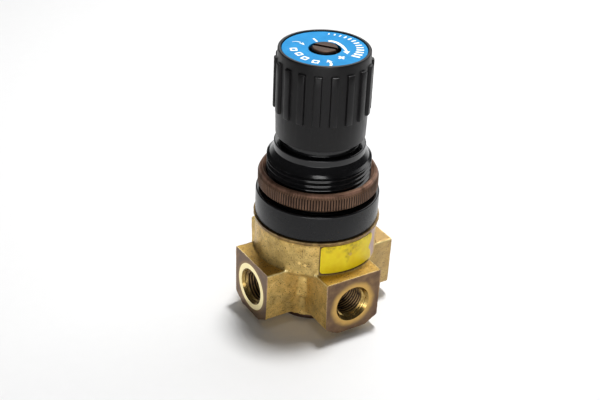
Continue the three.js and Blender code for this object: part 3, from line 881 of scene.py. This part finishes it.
def make_disc():
    low, high = DISC_LOW.z, DISC_HIGH.z
    return turned_piece("dial_disc", "knob_unit", "knob_disc", "blue_print", blue_print(), [
        (WELL_R, low), (DISC_R, low, 0.1), (DISC_R, high, 0.12), (WELL_R, high, 0.08),
    ], sides=160)


# ---- marks on the disc ----
VIEW_RIGHT = -32.77  # direction that the marks are laid out from, degrees


def mark_point(x, y):
    """A point on the disc, from mm to the right and down as the marks are read."""
    return polar(math.hypot(x, y), VIEW_RIGHT - math.degrees(math.atan2(y, x)))


def stroke(points, widths, smooth=6):
    """The outline of a line through the points, whose width changes along it."""
    points, widths = np.array(points, float), np.array(widths, float)
    if len(points) > 2:
        t = np.linspace(0, len(points) - 1, smooth * (len(points) - 1) + 1)
        knots = np.arange(len(points))
        curve = [np.polyfit(knots, points[:, k], min(3, len(points) - 1)) for k in (0, 1)]
        points = np.stack([np.polyval(c, t) for c in curve], -1)
        widths = np.interp(t, knots, widths)
    along = np.gradient(points, axis=0)
    along /= np.linalg.norm(along, axis=1)[:, None]
    side = np.stack([-along[:, 1], along[:, 0]], -1) * widths[:, None] / 2
    return list(map(tuple, points + side)) + list(map(tuple, (points - side)[::-1]))


def arrow_head(tip, tail, width):
    tip, tail = np.array(tip, float), np.array(tail, float)
    along = tip - tail
    side = np.array([-along[1], along[0]]) / np.linalg.norm(along) * width / 2
    return [tuple(tip), tuple(tail + side), tuple(tail + along * 0.22), tuple(tail - side)]


def bearing(degrees):
    """Unit vectors along a direction on the disc and across it, clockwise from the right."""
    a = math.radians(degrees)
    return np.array([math.cos(a), math.sin(a)]), np.array([-math.sin(a), math.cos(a)])


def radial_bar(degrees, inner, outer, width):
    along, side = bearing(degrees)
    side *= width / 2
    corners = (along * inner + side, along * outer + side, along * outer - side, along * inner - side)
    return [tuple(corner) for corner in corners]


def disc_marks():
    """Two large arrows and a small one, a minus, a plus and a scale."""
    shapes = [
        stroke(
            [(0.95, -5.15), (2.9, -4.5), (4.75, -2.4), (5.55, 0.2), (5.85, 1.6)],
            [1.0, 1.05, 0.95, 0.75, 0.5],
        ),
        arrow_head((6.1, 3.1), (5.85, 1.2), 2.0),
        stroke([(-9.0, -3.55), (-7.8, -3.9), (-6.6, -3.3)], [0.15, 0.3, 0.35]),
        arrow_head((-5.55, -1.7), (-6.55, -3.1), 1.3),
        stroke([(1.5, 11.2), (1.75, 9.9), (1.3, 8.6)], [0.7, 0.7, 0.6]),
        arrow_head((0.85, 7.35), (1.35, 8.9), 1.8),
    ]
    line = 0.62  # width of the minus and the plus
    minus, plus = (math.degrees(math.atan2(y, x)) for x, y in ((-2.65, -5.45), (4.5, 5.6)))
    shapes.append(radial_bar(minus, 4.9, 7.3, line))
    shapes.append(radial_bar(plus, 6.15, 8.25, line))
    along, across = bearing(plus)
    middle = along * 7.2
    shapes.append(stroke([middle - across * 1.05, middle - across * line / 2], [line, line]))
    shapes.append(stroke([middle + across * line / 2, middle + across * 1.05], [line, line]))
    bars, edge = 13, 10.7
    for i in range(bars):  # a scale that grows from less to more
        share = i / (bars - 1)
        shapes.append(radial_bar(-84 + 112 * share, edge - 0.9 - 1.6 * share, edge, 0.4 + 0.45 * share))
    return shapes


def ring_marks():
    """The outer and inner outlines of four small hollow squares on the lower left."""
    pairs = []
    for place in ((-8.45, 1.5), (-6.9, 4.4), (-5.3, 7.0), (-2.4, 9.0)):
        along, side = bearing(math.degrees(math.atan2(place[1], place[0])))
        pair = []
        for half in (1.0, 0.52):
            corners = [(half, half, 0.3), (-half, half, 0.3), (-half, -half, 0.3), (half, -half, 0.3)]
            pair.append([tuple(np.array(place) + along * u + side * v) for u, v in rounded(corners, 3)])
        pairs.append(pair)
    return pairs


def printed_white():
    look = Look("white_print")
    speck = look.noise(0.6, 4.0, 0.7)
    base = look.mix(look.band(speck, 0.55, 0.7), rgb(248, 244, 226), rgb(206, 214, 206))
    return look.done(Base_Color=base, Roughness=0.4)


def mark_object(shape, low, high):
    return prism_object("mark", [mark_point(*point) for point in shape], low, high)


def make_marks():
    low, high = DISC_HIGH.z - 0.05, DISC_HIGH.z + 0.02
    made = [mark_object(shape, low, high) for shape in disc_marks()]
    for outer, inner in ring_marks():
        ring = mark_object(outer, low, high)
        made.append(boolean(ring, [mark_object(inner, low - 1, high + 1)]))
    marks = join(made)
    marks.name = "disc_marks"
    return finish_piece(marks, "knob_unit", [], printed_white())


# ---- lock screw ----
def make_screw():
    low, top = SCREW_LOW.z, SCREW_HIGH.z
    angles = angles_of(96)
    shell = Shell()
    thread_top, under_head = 78.0, 79.3
    revolve(shell, [(0, low), (0.9, low), (1.0, low + 0.3)], angles)
    thread(shell, low + 0.3, thread_top, 0.5, 0.95, 1.2, 1.0, 1.2, angles, per_pitch=8)
    head = [(1.2, thread_top), (1.2, under_head), (3.6, under_head, 0.15), (3.6, top, 0.45), (0, top)]
    revolve(shell, rounded(head, 6, closed=False), angles)
    screw = shell_object("dial_screw", shell)
    slot_width, slot_depth, slot_angle = 1.2, 1.3, -52.5
    boolean(screw, [block_object((9, slot_width, 2 * slot_depth), (0, 0, top), slot_angle)])
    brown = browned_metal("screw_brown", 0.36, 0.3)
    return finish_piece(screw, "lock_unit", ["lock_screw"], brown)


# ---- label ----
def label_paint():
    look = Look("yellow_label")
    x, y, z = look.axes()
    angle = look.turn(x, y)
    cloud = look.noise(3.0, 5.0, 0.6)
    dirt = look.noise(1.1, 6.0, 0.7)
    faded = look.times(look.band(z, 27.6, 29.0), look.band(dirt, 0.42, 0.62))
    patch = look.spot(angle, z, (-109.0, 28.2), (4.5, 1.0), 0.6)
    patch = look.larger(patch, look.spot(angle, z, (-86.0, 27.2), (9.0, 1.5), 0.7))
    patch = look.larger(patch, look.spot(angle, z, (-91.5, 25.6), (2.2, 2.0), 0.7))
    base = look.layers(
        look.ramp(cloud, (0.3, rgb(242, 208, 8)), (0.7, rgb(252, 228, 28))),
        (faded, rgb(206, 182, 24)),
        (look.times(patch, look.ramp(dirt, (0.4, 0.1), (0.62, 0.85))), rgb(176, 146, 30)),
        (look.times(look.spot(angle, z, (-88.5, 25.5), (1.7, 0.5), 0.5), 0.7), rgb(206, 166, 96)),
    )
    rough = look.ramp(dirt, (0.35, 0.34), (0.65, 0.5))
    return look.bumped(dirt, 0.03, Base_Color=base, Roughness=rough, Specular_IOR_Level=0.3)


def worn_edge(height):
    """How many degrees of the label's right edge are worn away at a height."""
    bite = 4.6 * math.exp(-((height - 24.6) / 1.3) ** 2)
    return bite - 0.4 * math.exp(-((height - 27.4) / 0.8) ** 2)


def make_label():
    """A thin plate bent round the bowl, with rounded corners and a worn, slightly lifted right edge."""
    first, last = -117.6, -59.0
    low, high = LABEL_LOW.z, LABEL_HIGH.z
    arc = TAU * BOWL_R / 360  # mm per degree
    near = np.array([0, 0.02, 0.1, 0.25, 0.45, 0.7, 1.0]) / arc
    middle = np.linspace(first + 1.4 / arc, last - 1.4 / arc, 64)
    columns = []
    for angle in np.concatenate([first + near, middle, last - near[::-1]]):
        left, right = (angle - first) * arc, (last - angle) * arc
        cut = corner(left, 1.0) + corner(right, 1.0)
        columns.append((angle, low + cut, high - cut, 0.1 * smooth_step(1 - right / 2.5)))
    rows = []
    for radius, shares in ((17.74, np.linspace(0, 1, 25)), (17.97, np.linspace(1, 0, 25))):
        for share in shares:
            row = []
            for angle, bottom, top, lift in columns:
                height = bottom + (top - bottom) * share
                worn = worn_edge(height) * smooth_step((angle - last + 9) / 9)
                row.append((*polar(radius + lift, angle - worn), height))
            rows.append(row)
    shell = Shell().grid(np.array(rows), wrap_rows=True, wrap_columns=False)
    wide, count = len(columns), len(rows)
    for column in (0, wide - 1):  # the two ends
        for j in range(count // 2 - 1):
            ring = (j, j + 1, count - 2 - j, count - 1 - j)
            shell.faces.append(tuple(row * wide + column for row in ring))
    label = shell_object("type_plate", shell)
    return finish_piece(label, "housing", ["type_label"], label_paint())


def corner(distance, radius):
    """How far a rounded corner cuts in, at a distance from the side."""
    if distance >= radius:
        return 0.0
    return radius - math.sqrt(max(0.0, radius ** 2 - (radius - distance) ** 2))


# ---- bottom plug and its ring ----
def make_plug():
    radius, head = PLUG_HIGH.x, 1.5
    plug = turned_object("drain_plug", [
        (0, 0), (radius, 0, 0.4), (radius, head, 0.4), (8.1, head), (8.1, 6.0, 0.3), (5.9, 6.0, 0.15),
        (5.9, 8.3, 0.15), (7.4, 8.3, 0.15), (7.4, 9.2, 0.3), (4.8, 9.2, 0.2), (4.8, 4.2, 0.3),
        (1.5, 4.2, 0.1), (1.5, 2.6), (0, 2.6),
    ])
    key = [polar(4.0 / math.cos(math.pi / 6), 60 * i) for i in range(6)]
    boolean(plug, [prism_object("key", key, -1, 1.8)])
    look = plain("plug_metal", rgb(88, 66, 54), 0.8, 0.42, 0.6, 0.03, 0.25)
    return finish_piece(plug, "housing", ["bottom_plug"], look)


def torus_object(name, coil, wire, height, sides=96, around=20):
    turns = angles_of(around)
    section = [(coil + wire * math.cos(a), height + wire * math.sin(a)) for a in turns]
    return shell_object(name, revolve(Shell(), section + section[:1], angles_of(sides)))


# ---- springs ----
def spring_object(name, coil, wire, low, high, open_turns, per_turn=48, around=14):
    """A round-wire compression spring with closed, ground ends."""
    end_pitch = 2 * wire + 0.1
    bottom, top = low + wire, high - wire
    open_pitch = (top - bottom - 2 * end_pitch) / open_turns
    turns = np.linspace(0, open_turns + 2, (open_turns + 2) * per_turn + 1)
    closed = np.minimum(turns, 1) + np.maximum(turns - 1 - open_turns, 0)
    height = bottom + closed * end_pitch + np.clip(turns - 1, 0, open_turns) * open_pitch
    along, across = TAU * turns[:, None], angles_of(around)
    radius = coil + wire * np.cos(across)
    level = np.clip(height[:, None] + wire * np.sin(across), low, high)
    rows = np.stack([radius * np.cos(along), radius * np.sin(along), level], -1)
    shell = Shell().grid(rows)
    count = len(rows)
    shell.faces.append(tuple(range(around)))
    shell.faces.append(tuple((count - 1) * around + i for i in range(around)))
    return shell_object(name, shell, weld=1e-5)


def make_springs():
    steel = plain("spring_steel", rgb(150, 150, 154), 1.0, 0.32, 0.3, 0.004, 0.12)
    main_low, main_high = 26.5, 53.7
    main = spring_object("setting_spring", 6.9, 1.1, main_low, main_high, 6)
    finish_piece(main, "housing", ["main_spring"], steel)
    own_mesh(main)
    low, high, stroke_mm = 4.5, 8.7, 0.8
    valve = spring_object("return_spring", 3.0, 0.35, low, high, 3, per_turn=40, around=10)
    finish_piece(valve, "housing", ["valve_spring"], steel)
    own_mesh(valve)


# ---- spindle group ----
SPINDLE_PITCH = 1.25


def make_spindle(steel):
    angles = angles_of(96)
    shell = Shell()
    low, thread_top = 46.5, 57.9
    revolve(shell, [(0, low), (3.3, low), (3.45, low + 0.3)], angles)
    thread(shell, low + 0.3, thread_top, SPINDLE_PITCH, 3.3, 4.0, 3.45, 3.6, angles, hand=-1)
    upper = [
        (3.6, thread_top), (3.6, 58.4), (7.0, 58.4, 0.2), (7.0, 59.4, 0.2), (4.0, 59.4), (4.0, 62.9),
        (3.4, 62.9), (3.4, 63.9), (4.0, 63.9), (4.0, 66.0, 0.25), (2.9, 66.0), (2.9, 78.9, 0.2), (1.5, 78.9, 0.1),
        (1.5, 70.0), (0, 70.0),
    ]
    revolve(shell, rounded(upper, closed=False), angles)
    spindle = shell_object("spindle", shell)
    flats = [block_object((10, 3, 14), (0, sign * 3.7, 73.0)) for sign in (1, -1)]
    boolean(spindle, flats)
    finish_piece(spindle, "knob_unit", ["adjusting_spindle"], steel)
    clip = turned_object("retaining_clip", [
        (3.7, 63.1, 0.08), (5.8, 63.1, 0.08), (5.8, 63.7, 0.08), (3.7, 63.7, 0.08),
    ], sides=96)
    boolean(clip, [block_object((8, 3.2, 4), (6, 0, 63.4))])
    finish_piece(clip, "knob_unit", ["spindle_circlip"], steel)


def make_spring_plate(brass):
    angles = angles_of(96)
    shell = Shell()
    low, high, shoulder = 52.8, 58.0, 54.0
    outer = [
        (4.3, low + 0.4), (4.75, low, 0.1), (5.5, low, 0.2), (5.5, shoulder), (8.3, shoulder, 0.25),
        (8.3, high, 0.25), (4.75, high, 0.1), (4.3, high - 0.4),
    ]
    revolve(shell, rounded(outer, closed=False), angles)
    thread(shell, low + 0.4, high - 0.4, SPINDLE_PITCH, 4.72, 4.3, 4.3, 4.3, angles, hand=-1)
    plate = shell_object("spring_seat_plate", shell)
    lug, place = (2.4, 2.0, high - shoulder), (8.4, 0, (high + shoulder) / 2)
    lugs = [block_object(lug, place, 45 + 90 * i) for i in range(4)]
    boolean(plate, lugs, "UNION")
    return finish_piece(plate, "spring_seat", ["spring_plate"], brass)


def make_rings(steel, brass, rubber):
    turned_piece("bearing_washer", "housing", "thrust_washer", "turned_brass", brass, [
        (4.5, 59.7, 0.05), (7.4, 59.7, 0.05), (7.4, 60.2, 0.05), (4.5, 60.2, 0.05),
    ])
    turned_piece("clamp_ring", "housing", "slip_ring", "bright_steel", steel, [
        (12.6, 26.7, 0.1), (14.7, 26.7, 0.1), (14.7, 27.5, 0.1), (12.6, 27.5, 0.1),
    ])
    oring = torus_object("plug_seal", 7.05, 0.85, 7.15)
    finish_piece(oring, "housing", ["plug_oring"], rubber)


# ---- diaphragm and valve ----
def make_diaphragm(steel, brass, rubber):
    turned_piece("pressure_plate", "diaphragm_unit", "diaphragm_plate", "bright_steel", steel, [
        (2.3, 24.2, 0.1), (10.6, 24.2, 0.4), (10.6, 26.2, 0.2), (5.5, 26.2, 0.1), (5.5, 27.6, 0.2),
        (3.8, 27.6, 0.2), (3.8, 26.2), (2.3, 26.2, 0.1),
    ])
    turned_piece("relief_seat", "diaphragm_unit", "diaphragm_hub", "turned_brass", brass, [
        (0.8, 21.2, 0.1), (5.5, 21.2, 0.2), (5.5, 22.6, 0.15), (2.0, 22.6, 0.1), (2.0, 26.5, 0.1),
        (3.3, 26.5, 0.1), (3.0, 27.3, 0.15), (0.8, 27.3, 0.1),
    ], sides=96)
    rim_low, rim_high, mid_low, mid_high = 25.4, 26.4, 22.9, 23.9
    sheet = turned_piece("rolling_sheet", None, "diaphragm", "black_rubber", rubber, [
        (2.3, mid_low, 0.1), (11.2, mid_low, 0.6), (12.2, rim_low - 0.3, 0.3), (12.5, rim_low, 0.2),
        (14.7, rim_low, 0.1), (14.7, rim_high, 0.1), (12.2, rim_high, 0.3), (11.8, rim_high - 0.3, 0.3),
        (10.9, mid_high, 0.5), (2.3, mid_high, 0.1),
    ])
    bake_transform(sheet)


def make_valve(steel, brass, rubber):
    turned_piece("push_pin", "valve_unit", "valve_stem", "bright_steel", steel, [
        (0, 3.7), (1.2, 3.7, 0.3), (1.2, 20.9, 0.4), (0, 20.9),
    ], sides=48)
    turned_piece("valve_disc", "valve_unit", "valve_poppet", "turned_brass", brass, [
        (1.5, 7.6, 0.05), (2.3, 7.6, 0.15), (2.3, 9.0, 0.1), (4.4, 9.0, 0.2), (4.4, 11.6, 0.1),
        (4.0, 11.6, 0.1), (4.0, 10.8), (1.5, 10.8),
    ], sides=96)
    turned_piece("valve_seal", "valve_unit", "poppet_seal", "black_rubber", rubber, [
        (1.5, 11.1, 0.05), (3.7, 11.1, 0.15), (3.7, 12.1, 0.15), (1.5, 12.1, 0.05),
    ], sides=96)


def make_inside():
    steel = plain("bright_steel", rgb(178, 180, 184), 1.0, 0.3, 0.3, 0.004, 0.1)
    brass = turned_brass()
    rubber = plain("black_rubber", (0.012, 0.012, 0.012), 0.0, 0.6, 0.3, 0.01, 0.2)
    make_springs()
    make_spindle(steel)
    make_spring_plate(brass)
    make_rings(steel, brass, rubber)
    make_diaphragm(steel, brass, rubber)
    make_valve(steel, brass, rubber)


# ---- stage ----
def make_camera():
    """Three-quarter view from above, with the inlet on the left and a gauge port on the right."""
    azimuth, elevation, roll = (math.radians(a) for a in (-32.767, 30.441, 2.579))
    distance, aim_height, aim_right = 366.046, 33.84, -4.892
    level = math.cos(elevation)
    back = Vector((math.sin(azimuth) * level, -math.cos(azimuth) * level, math.sin(elevation)))
    right = Vector((math.cos(azimuth), math.sin(azimuth), 0))
    up = back.cross(right)
    tilted_right = right * math.cos(roll) + up * math.sin(roll)
    tilted_up = up * math.cos(roll) - right * math.sin(roll)
    place = (Vector((0, 0, aim_height)) + right * aim_right + back * distance) * MM
    data = bpy.data.cameras.new("camera")
    data.sensor_width = 36.0
    data.lens = 75.45
    data.clip_start = 0.01
    data.clip_end = 20
    camera = new_object("camera", data)
    camera.matrix_world = Matrix((
        (tilted_right.x, tilted_up.x, back.x, place.x),
        (tilted_right.y, tilted_up.y, back.y, place.y),
        (tilted_right.z, tilted_up.z, back.z, place.z),
        (0, 0, 0, 1),
    ))
    bpy.context.scene.camera = camera


def area_light(name, place_mm, aim_mm, size_mm, watts):
    data = bpy.data.lights.new(name, "AREA")
    data.shape = "RECTANGLE"
    data.size = size_mm[0] * MM
    data.size_y = size_mm[1] * MM
    data.energy = watts
    light = new_object(name, data)
    light.location = Vector(place_mm) * MM
    light.rotation_mode = "QUATERNION"
    light.rotation_quaternion = (Vector(place_mm) - Vector(aim_mm)).to_track_quat("Z", "Y")


def make_stage():
    work = bmesh.new()
    bmesh.ops.create_grid(work, x_segments=4, y_segments=4, size=3.0)
    data = bpy.data.meshes.new("floor")
    work.to_mesh(data)
    work.free()
    floor = new_object("floor", data)
    paper = plain("floor_paper", (0.83, 0.83, 0.83), roughness=0.9, grain_depth=0.0, shade=0.004)
    data.materials.append(paper)
    world = bpy.data.worlds.new("studio")
    bpy.context.scene.world = world
    world.use_nodes = True
    background = world.node_tree.nodes["Background"]
    background.inputs["Color"].default_value = (1, 1, 1, 1)
    background.inputs["Strength"].default_value = 0.06
    area_light("overhead", (100, 50, 610), (0, 0, 20), (70, 70), 3.5)
    area_light("high_front", (-58, -130, 600), (0, 0, 45), (150, 16), 0.14)
    area_light("low_front", (-300, -466, 72), (0, 0, 25), (500, 130), 1.03)
    area_light("back", (380, 280, 440), (0, 0, 20), (800, 400), 2.05)
    bpy.context.scene.view_settings.view_transform = "Standard"


make_camera()
make_stage()
make_body()
make_bonnet()
make_ring_nut()
make_knob()
make_disc()
make_marks()
make_screw()
make_label()
make_plug()
make_inside()
